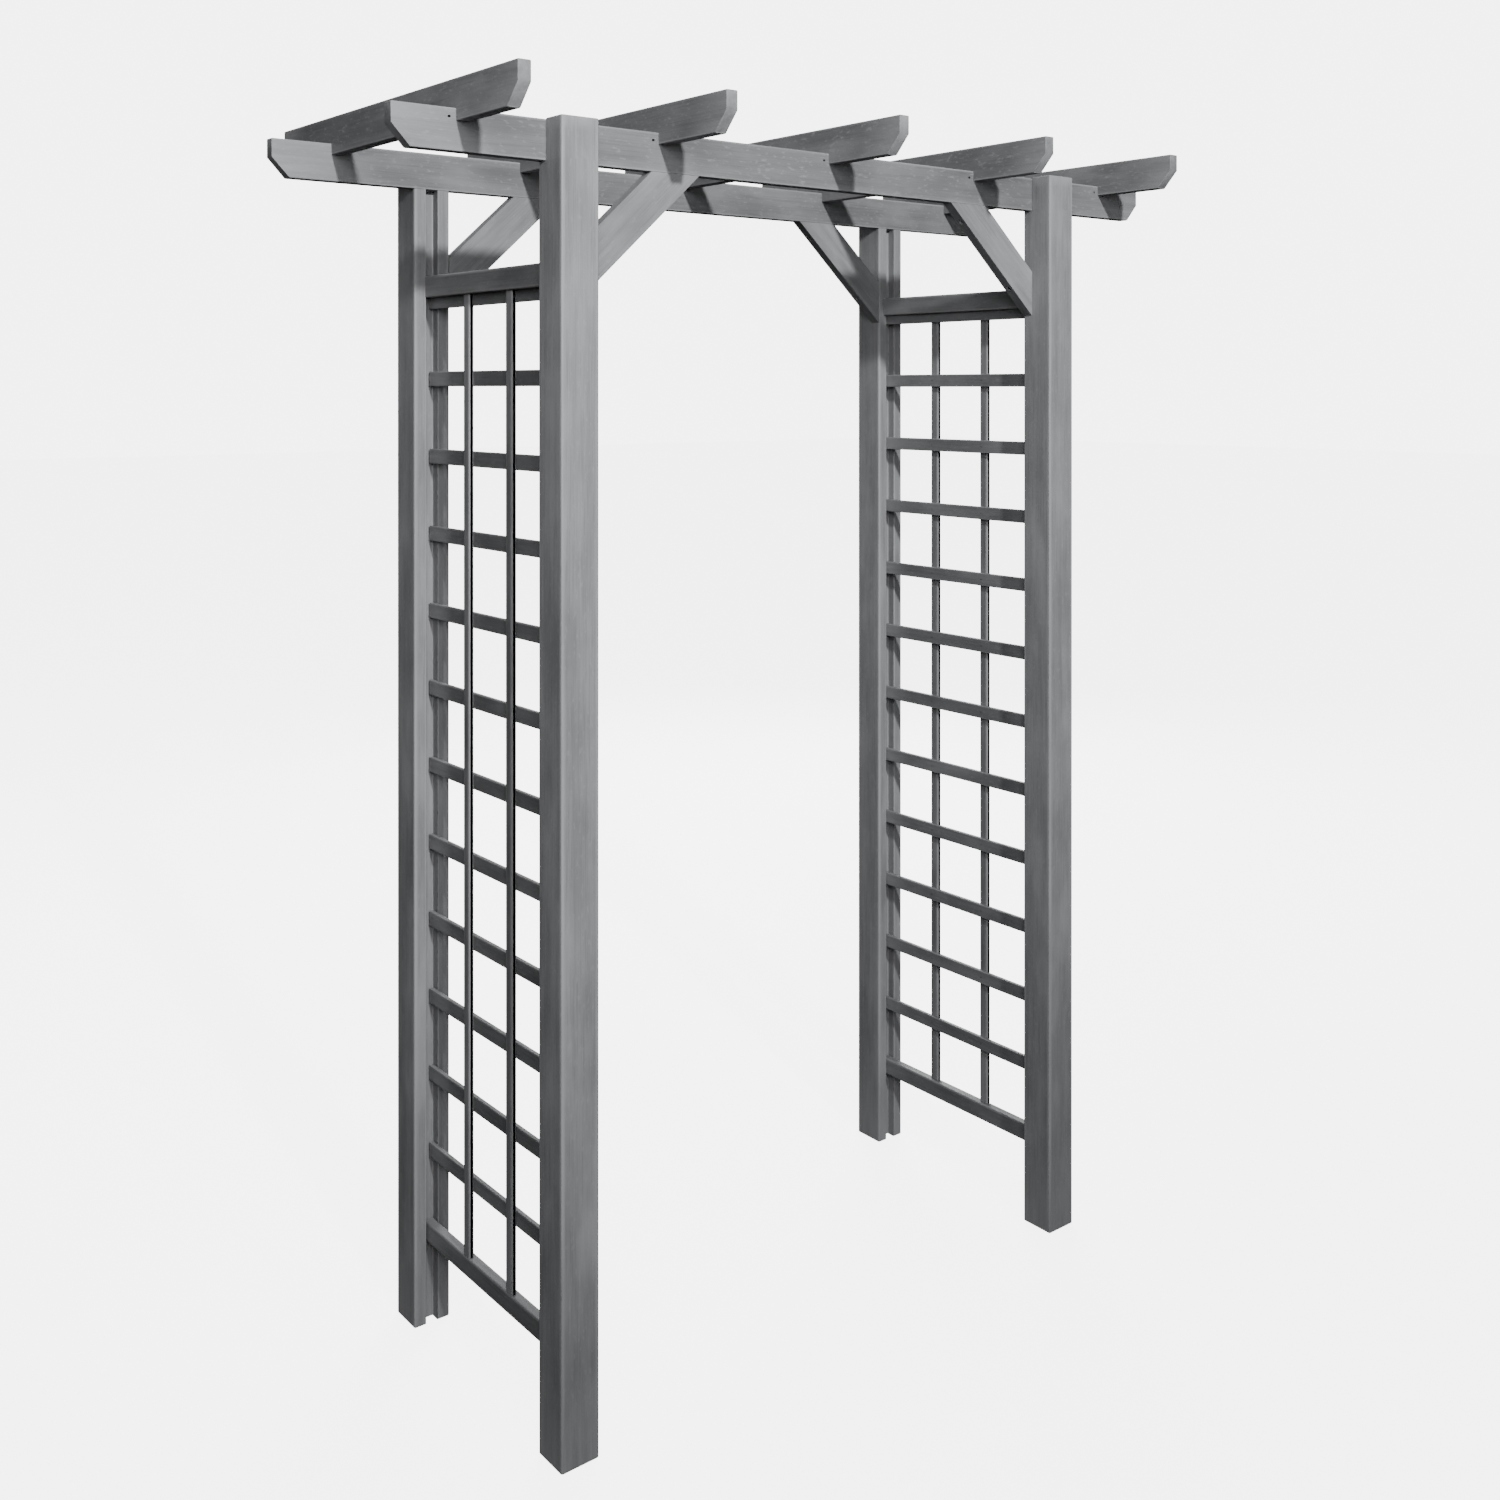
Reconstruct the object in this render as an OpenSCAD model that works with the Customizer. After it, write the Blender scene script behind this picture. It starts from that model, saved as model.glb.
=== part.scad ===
// Timber garden arch: four grooved posts, two beams, five rafters, four corner
// braces and two trellis sides. The origin is on the ground at the centre of the
// footprint, X runs across the walkway, Y runs from front to back and Z is up.

/* [Overall] */
// Width over the outer faces of the posts
span_w = 1252; // [900:1:1800]
// Depth over the outer faces of the posts
span_d = 592; // [420:1:900]
// Height of the posts
post_h = 2200; // [1800:1:2600]
// Length of the two beams
beam_l = 1800; // [1640:1:2400]
// Length of the rafters
rafter_l = 880; // [760:1:1300]

/* [Posts] */
// Side of the square post
post_w = 72; // [60:1:90]
// Width of the groove down the inner face of each post
groove_w = 24; // [20:1:30]
// Depth of that groove
groove_d = 20; // [17:1:26]
// Width of the bevel on the long edges of the posts
post_arris = 2; // [1:0.5:4]
// How far the post tops stand above the beams
post_proud = 2; // [0:0.5:6]

/* [Boards] */
// Height of the beams and rafters, and width of the braces
board_h = 68; // [56:1:82]
// Thickness of the beams, rafters and braces
board_t = 23; // [18:1:30]
// How far the rafters rise above the beams
rafter_rise = 48; // [34:1:54]
// Distance from the centre of an outer rafter to the end of the beam
rafter_inset = 122; // [90:1:200]
// Sideways clearance of a rafter in its notch
lap_fit = 0.4; // [0.2:0.1:1]
// Height of the square part of the beam and rafter ends
end_flat = 33; // [24:1:42]
// Length of the sloping cut under the beam and rafter ends
end_run = 32; // [20:1:45]
// Length of each brace along the underside of the beam
brace_run = 240; // [190:1:320]
// Length of each brace down the post
brace_drop = 220; // [180:1:300]

/* [Trellis sides] */
// Gap between the underside of the beam and the top rail
top_rail_drop = 163; // [120:1:260]
// Height of the top rail
top_rail_h = 40; // [30:1:60]
// Thickness of the top rail
top_rail_t = 36; // [34:1:42]
// How far the top rail stands out past the outer side of the post grooves
top_rail_out = 2; // [0:0.5:8]
// Depth of the groove in the underside of the top rail
rail_groove_d = 8; // [5:1:14]
// Height of the underside of the bottom rail
bottom_rail_z = 152; // [60:1:220]
// Height of the bottom rail
bottom_rail_h = 36; // [28:1:60]
// Height of the underside of the lowest slat
first_slat_z = 305; // [280:1:340]
// Height of a slat
slat_w = 28; // [18:1:40]
// Thickness of a slat
slat_t = 8; // [5:0.5:10]
// Width of an upright batten
batten_w = 22; // [14:1:30]
// Thickness of an upright batten
batten_t = 10; // [5:0.5:12]
// Distance between the two battens of a side
batten_pitch = 152; // [110:1:200]
// How far the slats and the bottom rail reach into the post grooves
tongue = 15; // [8:1:16]
// Gap between the slats and the inner wall of the groove
panel_gap = 2; // [1:0.5:3]
// Clearance around the panel's top in the groove of the top rail
rail_fit = 1; // [0.5:0.25:2]

/* [Fasteners] */
// Diameter of a screw's shank
screw_d = 5; // [3:0.5:6]
// Diameter of a screw's head
head_d = 9; // [8:0.5:11]
// Height of a screw's cone head
head_h = 3; // [2:0.5:4]
// Clearance around a screw's shank
screw_fit = 0.1; // [0.05:0.05:0.3]
// Depth of a beam screw in the wood that it bites into
beam_bite = 32; // [20:1:36]
// Depth of a brace screw in the post or beam
brace_bite = 20; // [12:1:22]
// Diameter of the skew nails
nail_d = 4; // [3:0.5:5]
// Reach of the skew nails, measured square to the face they enter
nail_reach = 32; // [26:1:36]
// Diameter of the pins that hold the slats to the battens
pin_d = 2.4; // [1.5:0.1:3]
// How far a pin stops short of the outer face of its batten
pin_back = 2; // [1:0.5:4]

/* [Hidden] */
// the node list below has this many rafters and, on each side, slats under the top one
rafter_count = 5;
slat_count = 11;
post_x = (span_w - post_w) / 2;
post_y = (span_d - post_w) / 2;
face_x = span_w / 2 - post_w;
face_y = span_d / 2 - post_w;
beam_top = post_h - post_proud;
beam_under = beam_top - board_h;
beam_y = face_y + board_t / 2;
rafter_top = beam_top + rafter_rise;
rafter_under = rafter_top - board_h;
notch_h = beam_top - rafter_under;
rafter_pitch = (beam_l - 2 * rafter_inset) / (rafter_count - 1);
brace_a = atan(brace_drop / brace_run);
brace_toe = board_h / sin(brace_a);
brace_heel = board_h / cos(brace_a);
// distances from the outer face of the posts to the layers of a side
slat_in = (post_w + groove_w) / 2 - panel_gap;
batten_in = slat_in - slat_t;
panel_out = batten_in - batten_t;
top_rail_in = (post_w - groove_w) / 2 - top_rail_out;
top_rail_z = beam_under - top_rail_drop - top_rail_h;
panel_top = top_rail_z + rail_groove_d - rail_fit;
top_slat_z = panel_top - slat_w;
slat_pitch = (top_slat_z - first_slat_z) / slat_count;
panel_l = span_d - 2 * post_w + 2 * tongue;
// where the skew nails start: beside the rafter, below the beam's top, before the post
nail_back = board_t / 2;
nail_down = notch_h * 0.7;
rail_nail_back = 14;
// the nail of a top rail goes into the lip between the groove and the rail's inner face
rail_nail_in = ((post_w + groove_w) / 2 + top_rail_in + top_rail_t) / 2;
// place of a brace's screws from its tips, and of their seats from the post and beam;
// the lower screw stays above the nail of the top rail
brace_screw_in = 40;
brace_seat = 28;
brace_screw_z = max(beam_under - brace_drop + brace_screw_in, top_rail_z + nail_reach + screw_d);
// the two screws of a corner are set apart sideways and in height
screw_spread = post_w * 0.4;
screw_step = 10;
beam_screw_z = beam_under + board_h * 0.35;
rear_bite = board_t * 0.7;
// cuts run past the faces that they open by this much
slack = 1;
$fn = 32;

// A countersunk screw along -Z with its flat head at the origin
module screw_body(length, fit = 0) {
    translate([0, 0, -head_h])
        cylinder(d1 = screw_d, d2 = head_d, h = head_h);
    translate([0, 0, -length - fit])
        cylinder(d = screw_d + 2 * fit, h = length + fit - head_h);
}

// Section of a post: square with bevelled edges and a groove in its +Y face
module post_section() {
    h = post_w / 2;
    c = post_arris;
    g = groove_w / 2;
    polygon([
        [-h + c, -h], [h - c, -h], [h, -h + c], [h, h - c], [h - c, h],
        [g, h], [g, h - groove_d], [-g, h - groove_d], [-g, h],
        [-h + c, h], [-h, h - c], [-h, -h + c]
    ]);
}

// Places a part made for the front left corner at the corner (sx, sy)
module at_corner(sx, sy) {
    mirror([sx > 0 ? 1 : 0, 0, 0])
        mirror([0, sy > 0 ? 1 : 0, 0])
            children();
}

// Two screws join the beam and the post's tongue, driven from the back of the arch
module corner_screws(sx, sy, fit = 0) {
    head_y = sy > 0 ? span_d / 2 : -face_y;
    reach = sy > 0 ? post_w - board_t + rear_bite : board_t + beam_bite;
    for (i = [0, 1])
        translate([sx * post_x + (i - 0.5) * screw_spread, head_y, beam_screw_z + (i - 0.5) * screw_step])
            rotate([-90, 0, 0])
                screw_body(reach, fit);
}

// Screws through a front left brace: one into the post and one up into the beam
module brace_pair(fit = 0, pocket = false) {
    up_x = -face_x + brace_run - brace_screw_in;
    translate([-face_x + brace_seat, -beam_y, brace_screw_z])
        rotate([0, 90, 0]) {
            screw_body(brace_seat + brace_bite, fit);
            if (pocket)
                cylinder(d = head_d, h = brace_run);
        }
    translate([up_x, -beam_y, beam_under - brace_seat])
        rotate([180, 0, 0]) {
            screw_body(brace_seat + brace_bite, fit);
            if (pocket)
                cylinder(d = head_d, h = brace_run);
        }
}

// A skew nail at 45 degrees through the face of the front beam into rafter i
module rafter_nail(i) {
    x = rafter_x(i) - board_t / 2 - nail_back;
    intersection() {
        translate([x, -face_y - board_t, beam_top - nail_down])
            rotate([-90, 0, -45])
                cylinder(d = nail_d, h = 4 * board_t, center = true);
        translate([x - nail_reach, -face_y - board_t, beam_under])
            cube([2 * nail_reach, board_t - slack, board_h]);
    }
}

// A skew nail at 45 degrees up through the underside of the left top rail into the front post
module rail_nail() {
    x = -span_w / 2 + rail_nail_in;
    intersection() {
        translate([x, -face_y + rail_nail_back, top_rail_z])
            rotate([45, 0, 0])
                cylinder(d = nail_d, h = 4 * nail_reach, center = true);
        translate([x - nail_d, -span_d / 2, top_rail_z])
            cube([2 * nail_d, span_d / 2, nail_reach]);
    }
}

function rafter_x(i) = -beam_l / 2 + rafter_inset + i * rafter_pitch;

function slat_z(k) = k > slat_count ? top_slat_z : first_slat_z + (slat_count - k) * slat_pitch;

module post(sx, sy) {
    color([0.44, 0.45, 0.46])
        difference() {
            at_corner(sx, sy)
                difference() {
                    translate([-post_x, -post_y, 0])
                        linear_extrude(post_h)
                            post_section();
                    translate([-span_w / 2 - slack, -face_y - board_t, beam_under])
                        cube([post_w + 2 * slack, board_t + slack, board_h + post_proud + slack]);
                    brace_pair(screw_fit);
                    rail_nail();
                }
            corner_screws(sx, sy, screw_fit);
            for (i = [0 : rafter_count - 1])
                rafter_notch(i);
        }
}

// Room for rafter i in what it lies across
module rafter_notch(i) {
    w = board_t + lap_fit;
    translate([rafter_x(i) - w / 2, -rafter_l / 2, rafter_under])
        cube([w, rafter_l, board_h]);
}

// Side view of a beam or rafter, centred on the origin along its length
module board_outline(length) {
    h = length / 2;
    polygon([
        [-h, board_h], [-h, board_h - end_flat], [-h + end_run, 0],
        [h - end_run, 0], [h, board_h - end_flat], [h, board_h]
    ]);
}

module beam(sy) {
    color([0.5, 0.51, 0.52])
        difference() {
            at_corner(-1, sy)
                difference() {
                    translate([0, -face_y, beam_under])
                        rotate([90, 0, 0])
                            linear_extrude(board_t)
                                board_outline(beam_l);
                    for (i = [0 : rafter_count - 1]) {
                        rafter_notch(i);
                        rafter_nail(i);
                    }
                    for (sx = [-1, 1])
                        mirror([sx > 0 ? 1 : 0, 0, 0])
                            brace_pair(screw_fit);
                }
            for (sx = [-1, 1])
                corner_screws(sx, sy, screw_fit);
        }
}

module rafter(i) {
    color([0.5, 0.51, 0.52])
        difference() {
            translate([rafter_x(i) - board_t / 2, 0, rafter_under])
                rotate([90, 0, 90])
                    linear_extrude(board_t)
                        board_outline(rafter_l);
            for (sy = [-1, 1])
                mirror([0, sy > 0 ? 1 : 0, 0])
                    rafter_nail(i);
        }
}

module brace(sx, sy) {
    color([0.47, 0.48, 0.49])
        at_corner(sx, sy)
            difference() {
                translate([-face_x, -face_y, beam_under])
                    rotate([90, 0, 0])
                        linear_extrude(board_t)
                            polygon([
                                [0, -brace_drop], [brace_run, 0],
                                [brace_run - brace_toe, 0], [0, brace_heel - brace_drop]
                            ]);
                brace_pair(screw_fit, true);
            }
}

// Pins through the slats of one side into its battens
module pins(sx) {
    color([0.3, 0.3, 0.31])
        for (sy = [-1, 1], k = [1 : slat_count + 1])
            pin(sx, sy, k);
}

module pin(sx, sy, k) {
    z = slat_z(k);
    mirror([sx > 0 ? 1 : 0, 0, 0])
        translate([-span_w / 2 + panel_out + pin_back, sy * batten_pitch / 2, z + slat_w / 2])
            rotate([0, 90, 0])
                cylinder(d = pin_d, h = slat_t + batten_t - pin_back);
}

// A slat, with k counted down from 1, and slat_count + 1 for the one at the top rail
module slat(sx, k) {
    color([0.4, 0.41, 0.42])
        difference() {
            mirror([sx > 0 ? 1 : 0, 0, 0])
                translate([-span_w / 2 + batten_in, -panel_l / 2, slat_z(k)])
                    cube([slat_t, panel_l, slat_w]);
            for (sy = [-1, 1])
                pin(sx, sy, k);
        }
}

module batten(sx, sy) {
    z = bottom_rail_z + bottom_rail_h;
    color([0.42, 0.43, 0.44])
        difference() {
            mirror([sx > 0 ? 1 : 0, 0, 0])
                translate([-span_w / 2 + panel_out, sy * batten_pitch / 2 - batten_w / 2, z])
                    cube([batten_t, batten_w, panel_top - z]);
            for (k = [1 : slat_count + 1])
                pin(sx, sy, k);
        }
}

module bottom_rail(sx) {
    color([0.38, 0.39, 0.4])
        mirror([sx > 0 ? 1 : 0, 0, 0])
            translate([-span_w / 2 + panel_out, -panel_l / 2, bottom_rail_z])
                cube([batten_t + slat_t, panel_l, bottom_rail_h]);
}

module top_rail(sx) {
    color([0.4, 0.41, 0.42])
        mirror([sx > 0 ? 1 : 0, 0, 0])
            difference() {
                translate([-span_w / 2 + top_rail_in, -face_y, top_rail_z])
                    cube([top_rail_t, 2 * face_y, top_rail_h]);
                translate([-span_w / 2 + panel_out - rail_fit, -face_y - slack, top_rail_z - slack])
                    cube([batten_t + slat_t + 2 * rail_fit, 2 * (face_y + slack), rail_groove_d + slack]);
                rail_nail();
                mirror([0, 1, 0])
                    rail_nail();
            }
}

module beam_screws() {
    color([0.3, 0.3, 0.31])
        for (sx = [-1, 1], sy = [-1, 1])
            corner_screws(sx, sy);
}

module brace_screws() {
    color([0.3, 0.3, 0.31])
        for (sx = [-1, 1], sy = [-1, 1])
            at_corner(sx, sy)
                brace_pair();
}

module rafter_nails(sy) {
    color([0.3, 0.3, 0.31])
        mirror([0, sy > 0 ? 1 : 0, 0])
            for (i = [0 : rafter_count - 1])
                rafter_nail(i);
}

module rail_nails() {
    color([0.3, 0.3, 0.31])
        for (sx = [-1, 1], sy = [-1, 1])
            at_corner(sx, sy)
                rail_nail();
}

post(-1, -1);  // post_front_left
post(1, -1);  // post_front_right
post(-1, 1);  // post_rear_left
post(1, 1);  // post_rear_right
beam(-1);  // beam_front
beam(1);  // beam_rear
rafter(0);  // rafter_1
rafter(1);  // rafter_2
rafter(2);  // rafter_3
rafter(3);  // rafter_4
rafter(4);  // rafter_5
brace(-1, -1);  // brace_front_left
brace(1, -1);  // brace_front_right
brace(-1, 1);  // brace_rear_left
brace(1, 1);  // brace_rear_right
top_rail(-1);  // left_top_rail
bottom_rail(-1);  // left_bottom_rail
batten(-1, -1);  // left_batten_front
batten(-1, 1);  // left_batten_rear
slat(-1, 1);  // left_slat_01
slat(-1, 2);  // left_slat_02
slat(-1, 3);  // left_slat_03
slat(-1, 4);  // left_slat_04
slat(-1, 5);  // left_slat_05
slat(-1, 6);  // left_slat_06
slat(-1, 7);  // left_slat_07
slat(-1, 8);  // left_slat_08
slat(-1, 9);  // left_slat_09
slat(-1, 10);  // left_slat_10
slat(-1, 11);  // left_slat_11
slat(-1, 12);  // left_slat_top
top_rail(1);  // right_top_rail
bottom_rail(1);  // right_bottom_rail
batten(1, -1);  // right_batten_front
batten(1, 1);  // right_batten_rear
slat(1, 1);  // right_slat_01
slat(1, 2);  // right_slat_02
slat(1, 3);  // right_slat_03
slat(1, 4);  // right_slat_04
slat(1, 5);  // right_slat_05
slat(1, 6);  // right_slat_06
slat(1, 7);  // right_slat_07
slat(1, 8);  // right_slat_08
slat(1, 9);  // right_slat_09
slat(1, 10);  // right_slat_10
slat(1, 11);  // right_slat_11
slat(1, 12);  // right_slat_top
beam_screws();
brace_screws();
rafter_nails(-1);  // rafter_nails_front
rafter_nails(1);  // rafter_nails_rear
rail_nails();
pins(-1);  // left_pins
pins(1);  // right_pins
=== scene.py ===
import math
import bmesh
import bpy
import numpy as np
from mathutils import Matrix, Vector


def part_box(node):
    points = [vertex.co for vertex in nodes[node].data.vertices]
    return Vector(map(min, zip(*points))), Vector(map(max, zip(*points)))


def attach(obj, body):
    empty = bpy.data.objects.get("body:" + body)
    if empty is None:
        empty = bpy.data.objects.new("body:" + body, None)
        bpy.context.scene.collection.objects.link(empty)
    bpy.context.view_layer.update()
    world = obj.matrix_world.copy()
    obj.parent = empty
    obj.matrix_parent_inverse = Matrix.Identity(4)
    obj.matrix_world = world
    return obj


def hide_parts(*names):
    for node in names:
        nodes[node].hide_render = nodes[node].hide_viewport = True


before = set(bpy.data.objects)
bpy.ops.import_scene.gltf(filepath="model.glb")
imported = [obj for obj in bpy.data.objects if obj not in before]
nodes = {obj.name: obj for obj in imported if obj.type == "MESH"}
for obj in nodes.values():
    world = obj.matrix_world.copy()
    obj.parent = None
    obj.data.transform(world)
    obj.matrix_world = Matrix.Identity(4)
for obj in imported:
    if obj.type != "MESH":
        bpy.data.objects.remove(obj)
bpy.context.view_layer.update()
rng = np.random.default_rng(11)
print("frame loaded:", len(nodes), "nodes")


# stained timber

stain = {
    "tone": (0.215, 0.220, 0.228),      # mid grey of the stain
    "dark": (0.115, 0.118, 0.124),      # grain lines and knots
    "pale": (0.300, 0.306, 0.315),      # painted highlight and wear on rounded edges, and thin stain
    "flecks": 0.25,                     # how far the small pale flecks show
    "roughness": 0.62,
    "bump": 0.35,
}
boardStain = {**stain, "tone": (0.165, 0.169, 0.176), "dark": (0.085, 0.087, 0.092),
              "pale": (0.270, 0.275, 0.284), "flecks": 0.6}
lathStain = {**stain, "tone": (0.160, 0.164, 0.170), "dark": (0.082, 0.084, 0.088),
             "pale": (0.250, 0.255, 0.263), "flecks": 0.35}

# how fine each pattern is along the grain and across it, in cells a metre
grain = {"streaks": (2.6, 62.0, 62.0), "fibres": (9.0, 420.0, 420.0), "patches": (5.0, 13.0, 13.0),
         "specks": (70.0, 190.0, 190.0), "knots": (1.7, 9.0, 9.0)}


def link(tree, a, b):
    # joins an output socket to an input socket
    tree.links.new(a, b)


def noise(tree, place, scale, detail, rough=0.55):
    # fractal noise of the given fineness, read at a place stretched by a vector of scales
    stretch = tree.nodes.new("ShaderNodeMapping")
    stretch.inputs["Scale"].default_value = scale
    link(tree, place, stretch.inputs["Vector"])
    tex = tree.nodes.new("ShaderNodeTexNoise")
    tex.inputs["Scale"].default_value = 1.0
    tex.inputs["Detail"].default_value = detail
    tex.inputs["Roughness"].default_value = rough
    link(tree, stretch.outputs["Vector"], tex.inputs["Vector"])
    return tex.outputs["Fac"]


def remap(tree, value, low, high, toLow=0.0, toHigh=1.0):
    # a straight ramp from low..high to toLow..toHigh, held flat outside
    node = tree.nodes.new("ShaderNodeMapRange")
    for name, number in zip(("From Min", "From Max", "To Min", "To Max"), (low, high, toLow, toHigh)):
        node.inputs[name].default_value = number
    link(tree, value, node.inputs["Value"])
    return node.outputs["Result"]


def combine(tree, kind, a, b):
    # one arithmetic step on two sockets or numbers
    node = tree.nodes.new("ShaderNodeMath")
    node.operation = kind
    for slot, value in zip(node.inputs, (a, b)):
        if isinstance(value, (int, float)):
            slot.default_value = value
        else:
            link(tree, value, slot)
    return node.outputs["Value"]


def tint(tree, amount, base, over):
    # blends base towards over by amount
    node = tree.nodes.new("ShaderNodeMix")
    node.data_type = "RGBA"
    link(tree, amount, node.inputs["Factor"])
    for slot, value in ((node.inputs[6], base), (node.inputs[7], over)):
        if isinstance(value, tuple):
            slot.default_value = (*value, 1.0)
        else:
            link(tree, value, slot)
    return node.outputs[2]


def timberFinish(name, look, turn=None, offset=(0.0, 0.0, 0.0)):
    # Grey stain over softwood: long streaks and fibres run along the first coordinate, patches and
    # knots vary the tone, and the rubbedAndSheen attribute lightens the edges with painted highlight and
    # wear.
    # With a turn, the pattern is the object's own coordinates, turned and moved, on a piece that has no
    # attributes.
    material = bpy.data.materials.new(name)
    material.use_nodes = True
    tree = material.node_tree
    shader = tree.nodes["Principled BSDF"]
    if turn is None:
        source = tree.nodes.new("ShaderNodeAttribute")
        source.attribute_name = "grainPlace"
        place = source.outputs["Vector"]
        edge = tree.nodes.new("ShaderNodeAttribute")
        edge.attribute_name = "rubbedAndSheen"
        toneOf = tree.nodes.new("ShaderNodeAttribute")
        toneOf.attribute_name = "boardTone"
        rubbedAndSheen, boardTone = edge.outputs["Fac"], toneOf.outputs["Fac"]
    else:
        source = tree.nodes.new("ShaderNodeTexCoord")
        spin = tree.nodes.new("ShaderNodeMapping")
        spin.inputs["Rotation"].default_value = turn
        spin.inputs["Location"].default_value = offset
        link(tree, source.outputs["Object"], spin.inputs["Vector"])
        place = spin.outputs["Vector"]
        rubbedAndSheen, boardTone = None, None
    streaks = noise(tree, place, grain["streaks"], 4.0)
    fibres = noise(tree, place, grain["fibres"], 3.0, 0.6)
    patches = noise(tree, place, grain["patches"], 3.0)
    specks = noise(tree, place, grain["specks"], 2.0)
    colour = tint(tree, remap(tree, streaks, 0.42, 0.70, 0.0, 0.38), look["tone"], look["dark"])
    colour = tint(tree, remap(tree, fibres, 0.48, 0.70, 0.0, 0.46), colour, look["dark"])
    colour = tint(tree, remap(tree, patches, 0.50, 0.72, 0.0, 0.55), colour, look["pale"])
    colour = tint(tree, remap(tree, patches, 0.46, 0.28, 0.0, 0.45), colour, look["dark"])
    colour = tint(tree, remap(tree, specks, 0.58, 0.72, 0.0, look["flecks"]), colour, look["pale"])
    knots = tree.nodes.new("ShaderNodeTexVoronoi")
    knotPlace = tree.nodes.new("ShaderNodeMapping")
    knotPlace.inputs["Scale"].default_value = grain["knots"]
    link(tree, place, knotPlace.inputs["Vector"])
    link(tree, knotPlace.outputs["Vector"], knots.inputs["Vector"])
    knots.inputs["Scale"].default_value = 1.0
    knot = remap(tree, knots.outputs["Distance"], 0.13, 0.05, 0.0, 0.7)
    colour = tint(tree, knot, colour, look["dark"])
    if boardTone is not None:
        colour = tint(tree, remap(tree, boardTone, 0.0, 1.0, 0.0, 0.42), colour, look["dark"])
        # the pale colour is mixed in along the rounded edges as a painted highlight together with wear
        wearAndSheen = combine(tree, "MULTIPLY", rubbedAndSheen, remap(tree, streaks, 0.35, 0.6, 0.25, 0.85))
        colour = tint(tree, wearAndSheen, colour, look["pale"])
    link(tree, colour, shader.inputs["Base Color"])
    shade = remap(tree, patches, 0.3, 0.7, look["roughness"] - 0.1, look["roughness"] + 0.12)
    link(tree, shade, shader.inputs["Roughness"])
    fine, coarse = combine(tree, "MULTIPLY", fibres, 0.6), combine(tree, "MULTIPLY", streaks, 0.8)
    height = combine(tree, "ADD", fine, coarse)
    bump = tree.nodes.new("ShaderNodeBump")
    bump.inputs["Strength"].default_value = look["bump"]
    bump.inputs["Distance"].default_value = 0.0012
    link(tree, height, bump.inputs["Height"])
    link(tree, bump.outputs["Normal"], shader.inputs["Normal"])
    return material


finishes = {
    "post": timberFinish("stainedPost", stain),
    "board": timberFinish("stainedBoard", boardStain),
    "lath": timberFinish("stainedLath", lathStain),
}
print("timber finishes made")


# boards: a rounded section carried along a straight run

def roundedLoop(corners, radii, steps):
    # Each square corner of a counter-clockwise outline becomes an arc tangent to its two sides, with
    # its centre one radius along each of them. A support point follows at each end of the arc.
    corners = np.asarray(corners, float)
    before = np.roll(corners, 1, 0) - corners
    after = np.roll(corners, -1, 0) - corners
    before /= np.linalg.norm(before, axis=1, keepdims=True)
    after /= np.linalg.norm(after, axis=1, keepdims=True)
    points, wornAndSheen = [], []
    for corner, b, a, r in zip(corners, before, after, radii):
        t = np.linspace(0.0, 1.0, steps + 1)[:, None]
        angle = t * math.pi / 2
        arc = corner + r * (a + b) - r * (a * np.cos(angle) + b * np.sin(angle))
        support = 1.6 * r
        points += [corner + b * (r + support), *arc, corner + a * (r + support)]
        # the arc's points are marked 1 for the painted highlight and wear of a rounded edge, the support
        # points 0
        wornAndSheen += [0.0, *([1.0] * (steps + 1)), 0.0]
    return np.array(points), np.array(wornAndSheen)


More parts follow.
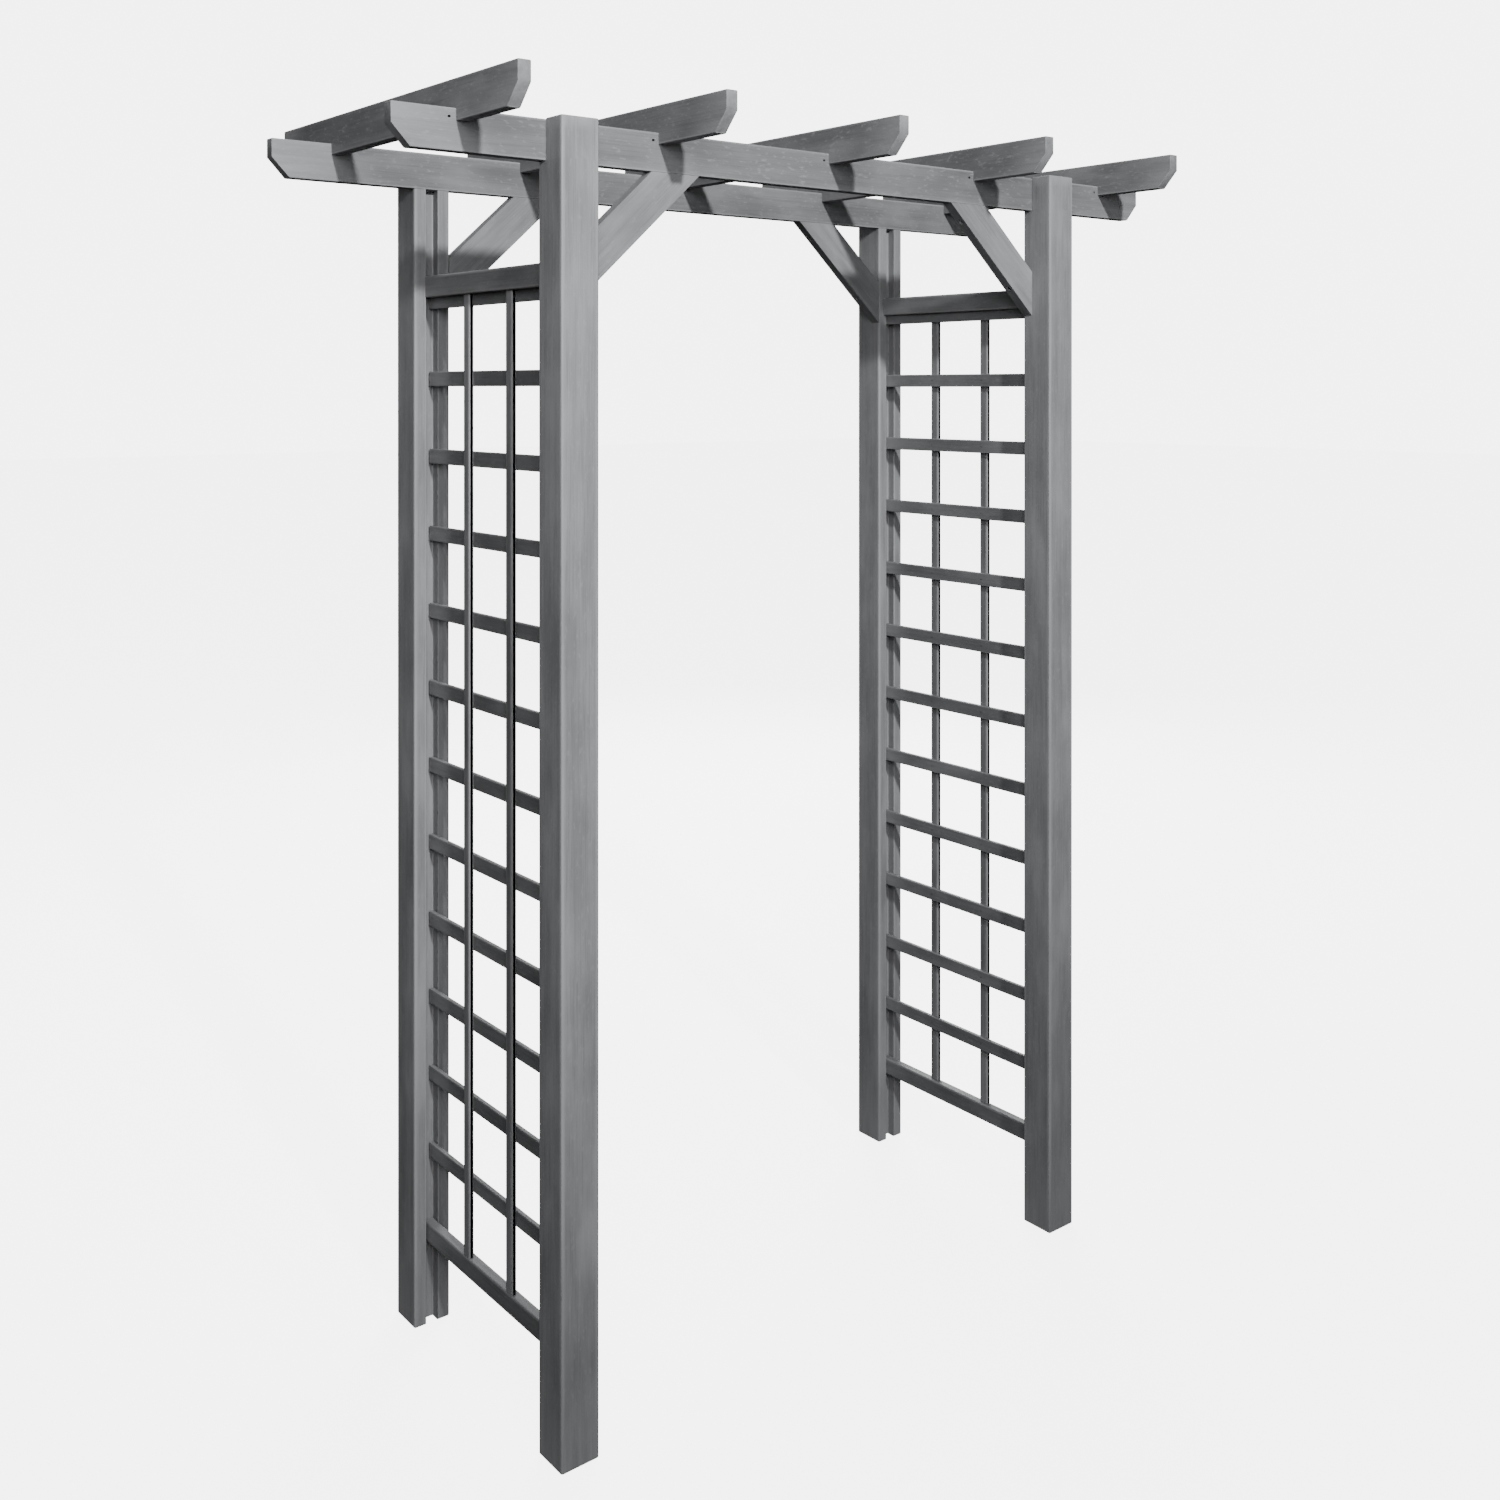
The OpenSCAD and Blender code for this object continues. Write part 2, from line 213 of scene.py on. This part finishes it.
def carried(loop, wornAndSheen, low, high, axes, origin, soft, steps=3, rings=6, bow=0.0, fold=False, tone=0.0):
    # The loop (across, up) is carried along the run from low to high, which may differ from point to
    # point so that an end is cut at a slant. At each end the last rings shrink on a quarter circle of
    # the radius in soft, or there is one plain ring where that is nought. bow bends the run by a half
    # sine. fold closes the ends with rungs between the loop's two halves, and otherwise one face does.
    centre = (loop.max(0) + loop.min(0)) / 2
    half = (loop.max(0) - loop.min(0)) / 2
    turn = np.linspace(0.0, math.pi / 2, steps + 1)
    first = turn if soft[0] else turn[-1:]
    last = turn[::-1] if soft[1] else turn[-1:]
    inset = [soft[0] * (1 - np.sin(first)), np.zeros(rings), soft[1] * (1 - np.sin(last))]
    push = [soft[0] * (1 - np.cos(first)), np.zeros(rings), -soft[1] * (1 - np.cos(last))]
    share = [np.zeros(len(first)), (np.arange(rings) + 1.0) / (rings + 1), np.ones(len(last))]
    inset, push, share = (np.concatenate(parts) for parts in (inset, push, share))
    scale = 1 - inset[:, None, None] / half
    across = centre + (loop[None] - centre) * scale
    along = low[None] + (high - low)[None] * share[:, None] + push[:, None]
    across[:, :, 0] += bow * np.sin(math.pi * share)[:, None]
    place = np.concatenate([along[:, :, None], across], axis=2)
    count, size = len(share), len(loop)
    world = np.asarray(origin) + place @ np.asarray(axes, float)
    index = np.arange(count * size).reshape(count, size)
    nextOne = np.roll(index, -1, 1)
    quads = [np.stack([index[:-1], nextOne[:-1], nextOne[1:], index[1:]], -1).reshape(-1, 4)]
    caps = []
    if fold:
        i = np.arange(size // 2 - 1)
        for ring, order in ((index[0], -1), (index[-1], 1)):
            rungs = np.stack([ring[i], ring[i + 1], ring[size - 2 - i], ring[size - 1 - i]], -1)
            quads.append(rungs[:, ::order])
    else:
        caps = [index[0][::-1], index[-1]]
    wornAndSheenAll = np.broadcast_to(wornAndSheen, (count, size)).copy()
    # rounded end rings are marked whole for the painted highlight and wear of the edges
    wornAndSheenAll[:len(first) if soft[0] else 0] = 1.0
    wornAndSheenAll[count - (len(last) if soft[1] else 0):] = 1.0
    shift = rng.uniform(-40, 40, 3)
    return {"world": world.reshape(-1, 3), "quads": np.concatenate(quads), "caps": caps,
            "grain": (place + shift).reshape(-1, 3), "wornAndSheen": wornAndSheenAll.reshape(-1),
            "tone": np.full(count * size, tone)}


def makePiece(name, parts, finish, slotName, *stands):
    # Joins the carried parts into one mesh with its attributes, turns it outwards if its signed
    # volume is below nought, and gives it to the frame. Only square edges stay sharp.
    world = np.concatenate([p["world"] for p in parts])
    faces, base = [], 0
    for p in parts:
        faces += (p["quads"] + base).tolist() + [(cap + base).tolist() for cap in p["caps"]]
        base += len(p["world"])
    mesh = bpy.data.meshes.new(name)
    mesh.from_pydata(world.tolist(), [], faces)
    mesh.validate()
    flow = mesh.attributes.new("grainPlace", "FLOAT_VECTOR", "POINT")
    flow.data.foreach_set("vector", np.concatenate([p["grain"] for p in parts]).astype(np.float32).ravel())
    for label, key in (("rubbedAndSheen", "wornAndSheen"), ("boardTone", "tone")):
        layer = mesh.attributes.new(label, "FLOAT", "POINT")
        layer.data.foreach_set("value", np.concatenate([p[key] for p in parts]).astype(np.float32))
    shell = bmesh.new()
    shell.from_mesh(mesh)
    if shell.calc_volume(signed=True) < 0:
        mesh.flip_normals()
    shell.free()
    mesh.polygons.foreach_set("use_smooth", [True] * len(mesh.polygons))
    mesh.set_sharp_from_angle(angle=math.radians(60))
    mesh.update()
    piece = bpy.data.objects.new(name, mesh)
    bpy.context.scene.collection.objects.link(piece)
    piece.data.materials.append(finishes[finish])
    even = piece.modifiers.new("evenNormals", "WEIGHTED_NORMAL")
    even.weight = 100
    even.keep_sharp = True
    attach(piece, "root")
    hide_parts(*stands)
    return piece


def boxLoop(width, height, radius, steps=3, knee=None):
    # Rectangle from (-width/2, 0) to (width/2, height) with rounded corners, starting on its foot, and
    # with a point on each side at the height of the knee. Its left half is the right half mirrored.
    w = width / 2
    loop, wornAndSheen = roundedLoop([(w, 0), (w, height), (-w, height), (-w, 0)], [radius] * 4, steps)
    size = len(loop) // 2
    right, wornAndSheenRight = loop[:size], wornAndSheen[:size]
    if knee is not None:
        at = int(np.searchsorted(right[:, 1], knee))
        right = np.insert(right, at, (w, knee), 0)
        wornAndSheenRight = np.insert(wornAndSheenRight, at, 0.0)
    left = right[::-1] * (-1, 1)
    return np.concatenate([right, left]), np.concatenate([wornAndSheenRight, wornAndSheenRight[::-1]])


# posts: full section with the groove up to the beam's seat, then the tongue in front of the beam
post = {
    "round": 0.0032, "lip": 0.0012, "easedEnd": 0.002,      # radii of the long edges, groove and ends
    "grooveWidth": 0.024, "grooveDepth": 0.020,
    "seat": 0.070, "tongue": 0.049,                         # height of the tongue and its thickness
    "shades": 0.25,                                         # how far the posts differ in tone
}


def grooveLoop(side, look):
    # square outline with rounded corners and a groove in the middle of its far side
    h, g, d = side / 2, look["grooveWidth"] / 2, look["grooveDepth"]
    outline = [(-h, -h), (h, -h), (h, h), (g, h), (g, h - d), (-g, h - d), (-g, h), (-h, h)]
    r, lip = look["round"], look["lip"]
    loop, wornAndSheen = roundedLoop(outline, [r, r, r, lip, lip, lip, lip, r], 3)
    return loop, wornAndSheen


def makePost(node, front):
    # The grooved section carried from the ground to the seat, and a plain rectangle, as thick as the
    # tongue, carried from there to the top. front is 1 where the groove faces the back, -1 if not.
    low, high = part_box(node)
    side = high.x - low.x
    middle = ((low.x + high.x) / 2, (low.y + high.y) / 2, 0.0)
    axes = [(0, 0, 1), (1, 0, 0), (0, front, 0)]
    seat = high.z - post["seat"]
    tone = float(rng.uniform(0.0, post["shades"]))
    loop, wornAndSheen = grooveLoop(side, post)
    size = len(loop)
    body = carried(loop, wornAndSheen, np.zeros(size), np.full(size, seat), axes, middle,
                   soft=(post["easedEnd"], 0.0), rings=12, tone=tone)
    w, t = side / 2, post["tongue"]
    outline = [(-w, -w), (w, -w), (w, -w + t), (-w, -w + t)]
    tip, tipWornAndSheen = roundedLoop(outline, [post["round"], post["round"], post["lip"], post["lip"]], 3)
    size = len(tip)
    top = carried(tip, tipWornAndSheen, np.full(size, seat), np.full(size, high.z), axes, middle,
                  soft=(0.0, post["easedEnd"]), rings=2, tone=tone)
    # the tongue's grain goes on from the body's
    top["grain"] += body["grain"][0] - top["grain"][0]
    top["grain"][:, 0] += seat
    return makePiece("timber_" + node, [body, top], "post", "stained_post", node)


for side in ("left", "right"):
    makePost("post_front_" + side, 1)
for side in ("left", "right"):
    makePost("post_rear_" + side, -1)
print("posts made")


# beams and rafters: boards on edge, with the lower corner of each end sawn off at a slant
roof = {
    "round": 0.0016, "easedEnd": 0.0014,
    "flat": 0.033, "run": 0.032,        # height of an end's square part and length of its slant
    "bow": 0.0015, "shades": 0.35,
}


def slantEnds(loop, length, look):
    # Below the knee, each end steps back in a straight line, as far as the run at the board's foot.
    height = loop[:, 1].max()
    knee = height - look["flat"]
    back = look["run"] * np.clip(1 - loop[:, 1] / knee, 0, None)
    return -length / 2 + back, length / 2 - back


def makeRoofBoard(node, axis, slotName, bow):
    # The board's rectangle, with a point at the knee, carried along its axis between slanted ends
    low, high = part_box(node)
    size = high - low
    run, across = (size.x, size.y) if axis == "x" else (size.y, size.x)
    loop, wornAndSheen = boxLoop(across, size.z, roof["round"], knee=size.z - roof["flat"])
    start, end = slantEnds(loop, run, roof)
    along, side = ((1, 0, 0), (0, 1, 0)) if axis == "x" else ((0, 1, 0), (1, 0, 0))
    foot = ((low.x + high.x) / 2, (low.y + high.y) / 2, low.z)
    part = carried(loop, wornAndSheen, start, end, [along, side, (0, 0, 1)], foot, soft=(roof["easedEnd"],) * 2,
                   rings=8, bow=bow, fold=True, tone=float(rng.uniform(0.0, roof["shades"])))
    return makePiece("timber_" + node, [part], "board", slotName, node)


for node in ("beam_front", "beam_rear"):
    makeRoofBoard(node, "x", "stained_beam", 0.0)
for k in range(5):
    makeRoofBoard("rafter_%d" % (k + 1), "y", "stained_rafter", float(rng.uniform(-roof["bow"], roof["bow"])))
print("beams and rafters made")


# trellis sides: rails, upright battens and slats
laths = {"slatRound": 0.0011, "battenRound": 0.0028, "railRound": 0.0022, "easedEnd": 0.0008, "shades": 0.5}


def makeLath(node, axis, radius, slotName):
    # A rounded rectangle carried the full length of the node's box, along y or, for a batten, along z
    low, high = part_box(node)
    size = high - low
    if axis == "y":
        run, across, up = size.y, size.x, size.z
        axes = [(0, 1, 0), (1, 0, 0), (0, 0, 1)]
        foot = ((low.x + high.x) / 2, (low.y + high.y) / 2, low.z)
    else:
        run, across, up = size.z, size.x, size.y
        axes = [(0, 0, 1), (1, 0, 0), (0, 1, 0)]
        foot = ((low.x + high.x) / 2, low.y, (low.z + high.z) / 2)
    loop, wornAndSheen = boxLoop(across, up, radius, steps=2)
    ends = np.full(len(loop), run / 2)
    part = carried(loop, wornAndSheen, -ends, ends, axes, foot, soft=(laths["easedEnd"],) * 2, steps=2, rings=4,
                   fold=True, tone=float(rng.uniform(0.0, laths["shades"])))
    return makePiece("timber_" + node, [part], "lath", slotName, node)


for side in ("left", "right"):
    makeLath(side + "_top_rail", "y", laths["railRound"], "stained_rail")
    makeLath(side + "_bottom_rail", "y", laths["railRound"], "stained_rail")
    for where in ("front", "rear"):
        makeLath("%s_batten_%s" % (side, where), "z", laths["battenRound"], "stained_batten")
    for k in [*("%02d" % n for n in range(1, 12)), "top"]:
        makeLath("%s_slat_%s" % (side, k), "y", laths["slatRound"], "stained_slat")
print("trellis sides made")


# braces keep their sawn shape with its screw pockets; their edges are eased
braces = {"ease": 0.0014, "drop": 0.220, "run": 0.240}

slope = math.atan2(braces["drop"], braces["run"])
for node in ("brace_front_left", "brace_front_right", "brace_rear_left", "brace_rear_right"):
    lean = slope if node.endswith("left") else -slope
    # the rotation lays the board's length along the first coordinate
    finish = timberFinish("stained_" + node, stain, (0.0, lean, 0.0), tuple(rng.uniform(-9, 9, 3)))
    part = nodes[node]
    part.data.materials.clear()
    part.data.materials.append(finish)
    weld = part.modifiers.new("weld", "WELD")
    weld.merge_threshold = 0.00001
    ease = part.modifiers.new("ease", "BEVEL")
    ease.width = braces["ease"]
    ease.segments = 2
    ease.limit_method = "ANGLE"
    ease.angle_limit = math.radians(40)
print("braces finished")


# fasteners

steel = {"tone": (0.20, 0.20, 0.205), "dull": (0.08, 0.078, 0.076), "roughness": 0.48}


def steelFinish(name, look):
    # Dull plated steel: grey with darker patches of tarnish, and fine scratches in the bump.
    material = bpy.data.materials.new(name)
    material.use_nodes = True
    tree = material.node_tree
    shader = tree.nodes["Principled BSDF"]
    place = tree.nodes.new("ShaderNodeTexCoord").outputs["Object"]
    patches = noise(tree, place, (260.0, 260.0, 260.0), 3.0)
    scratches = noise(tree, place, (1500.0, 300.0, 1500.0), 2.0)
    colour = tint(tree, remap(tree, patches, 0.4, 0.65), look["tone"], look["dull"])
    link(tree, colour, shader.inputs["Base Color"])
    link(tree, remap(tree, patches, 0.3, 0.7, look["roughness"] - 0.1, look["roughness"] + 0.2),
         shader.inputs["Roughness"])
    shader.inputs["Metallic"].default_value = 0.85
    bump = tree.nodes.new("ShaderNodeBump")
    bump.inputs["Strength"].default_value = 0.2
    bump.inputs["Distance"].default_value = 0.0002
    link(tree, scratches, bump.inputs["Height"])
    link(tree, bump.outputs["Normal"], shader.inputs["Normal"])
    return material


zinc = steelFinish("dullZinc", steel)
for node in ("beam_screws", "brace_screws", "rafter_nails_front", "rafter_nails_rear", "rail_nails",
             "left_pins", "right_pins"):
    nodes[node].data.materials.clear()
    nodes[node].data.materials.append(zinc)
print("fasteners finished")


# floor, light and camera

studio = {
    "floorHalf": 40.0, "floorTone": (0.90, 0.90, 0.90), "floorGlow": 5.0,
    "backdrop": 5.6, "skyLight": 0.36, "groundLight": 0.02, "wallLight": 0.09,
    "keyFrom": (-0.164, -0.925, 0.342), "keyAim": (-0.25, -0.25, 2.40), "keyDistance": 8.0,
    "keySize": 0.20, "keyPower": 3700.0, "keyCone": 34.0,
    "fillAt": (-2.3, -3.3, 2.8), "fillAim": (-0.1, 0.0, 1.9), "fillSize": 1.7, "fillPower": 96.0,
    "rearAt": (3.4, 3.6, 3.2), "rearAim": (0.0, 0.0, 1.2), "rearSize": 2.6, "rearPower": 260.0,
}

floorMesh = bpy.data.meshes.new("floor")
edge = studio["floorHalf"]
corners = [(-edge, -edge, 0), (edge, -edge, 0), (edge, edge, 0), (-edge, edge, 0)]
floorMesh.from_pydata(corners, [], [(0, 1, 2, 3)])
floor = bpy.data.objects.new("floor", floorMesh)
bpy.context.scene.collection.objects.link(floor)
floorPaint = bpy.data.materials.new("paleFloor")
floorPaint.use_nodes = True
paint = floorPaint.node_tree.nodes["Principled BSDF"]
paint.inputs["Base Color"].default_value = (*studio["floorTone"], 1)
paint.inputs["Roughness"].default_value = 0.9
paint.inputs["Emission Color"].default_value = (1, 1, 1, 1)
paint.inputs["Emission Strength"].default_value = studio["floorGlow"]
floorMesh.materials.append(floorPaint)
floor.visible_diffuse = False
floor.visible_glossy = False

# the air is bright overhead, dim at the level of the eye and dark below, and pale behind the arch
world = bpy.data.worlds.new("studioAir")
bpy.context.scene.world = world
world.use_nodes = True
air = world.node_tree
lit = air.nodes["Background"]
lit.inputs["Color"].default_value = (1, 1, 1, 1)
height = air.nodes.new("ShaderNodeSeparateXYZ")
link(air, air.nodes.new("ShaderNodeTexCoord").outputs["Generated"], height.inputs["Vector"])
below = remap(air, height.outputs["Z"], -0.25, 0.0, studio["groundLight"], studio["wallLight"])
above = remap(air, height.outputs["Z"], 0.0, 0.8, 0.0, studio["skyLight"] - studio["wallLight"])
link(air, combine(air, "ADD", below, above), lit.inputs["Strength"])
plain = air.nodes.new("ShaderNodeBackground")
plain.inputs["Color"].default_value = (1, 1, 1, 1)
plain.inputs["Strength"].default_value = studio["backdrop"]
choose = air.nodes.new("ShaderNodeMixShader")
link(air, air.nodes.new("ShaderNodeLightPath").outputs["Is Camera Ray"], choose.inputs["Fac"])
link(air, lit.outputs["Background"], choose.inputs[1])
link(air, plain.outputs["Background"], choose.inputs[2])
link(air, choose.outputs["Shader"], air.nodes["World Output"].inputs["Surface"])


def addLight(name, lamp, place, aim):
    # hangs a lamp at its place, turned to face its aim
    holder = bpy.data.objects.new(name, lamp)
    holder.location = place
    holder.rotation_euler = (Vector(aim) - Vector(place)).to_track_quat("-Z", "Y").to_euler()
    holder.visible_camera = False
    bpy.context.scene.collection.objects.link(holder)


key = bpy.data.lights.new("keyLight", "SPOT")
key.energy = studio["keyPower"]
key.shadow_soft_size = studio["keySize"]
key.spot_size = math.radians(studio["keyCone"])
key.spot_blend = 1.0
keyAim = Vector(studio["keyAim"])
addLight("keyLight", key, keyAim + Vector(studio["keyFrom"]) * studio["keyDistance"], keyAim)

for name in ("fill", "rear"):
    lamp = bpy.data.lights.new(name + "Light", "AREA")
    lamp.size = studio[name + "Size"]
    lamp.energy = studio[name + "Power"]
    addLight(name + "Light", lamp, studio[name + "At"], studio[name + "Aim"])

view = {"place": (-1.9906, -2.5171, 1.7559), "yaw": 0.6790, "pitch": -0.001, "lens": 38.45,
        "shiftX": -0.0119, "shiftY": -0.2397}
lens = bpy.data.cameras.new("camera")
lens.sensor_width = 36.0
lens.lens = view["lens"]
lens.shift_x = view["shiftX"]
lens.shift_y = view["shiftY"]
camera = bpy.data.objects.new("camera", lens)
camera.location = view["place"]
camera.rotation_euler = (math.pi / 2 + view["pitch"], 0.0, -view["yaw"])
bpy.context.scene.collection.objects.link(camera)
bpy.context.scene.camera = camera
print("stage set")
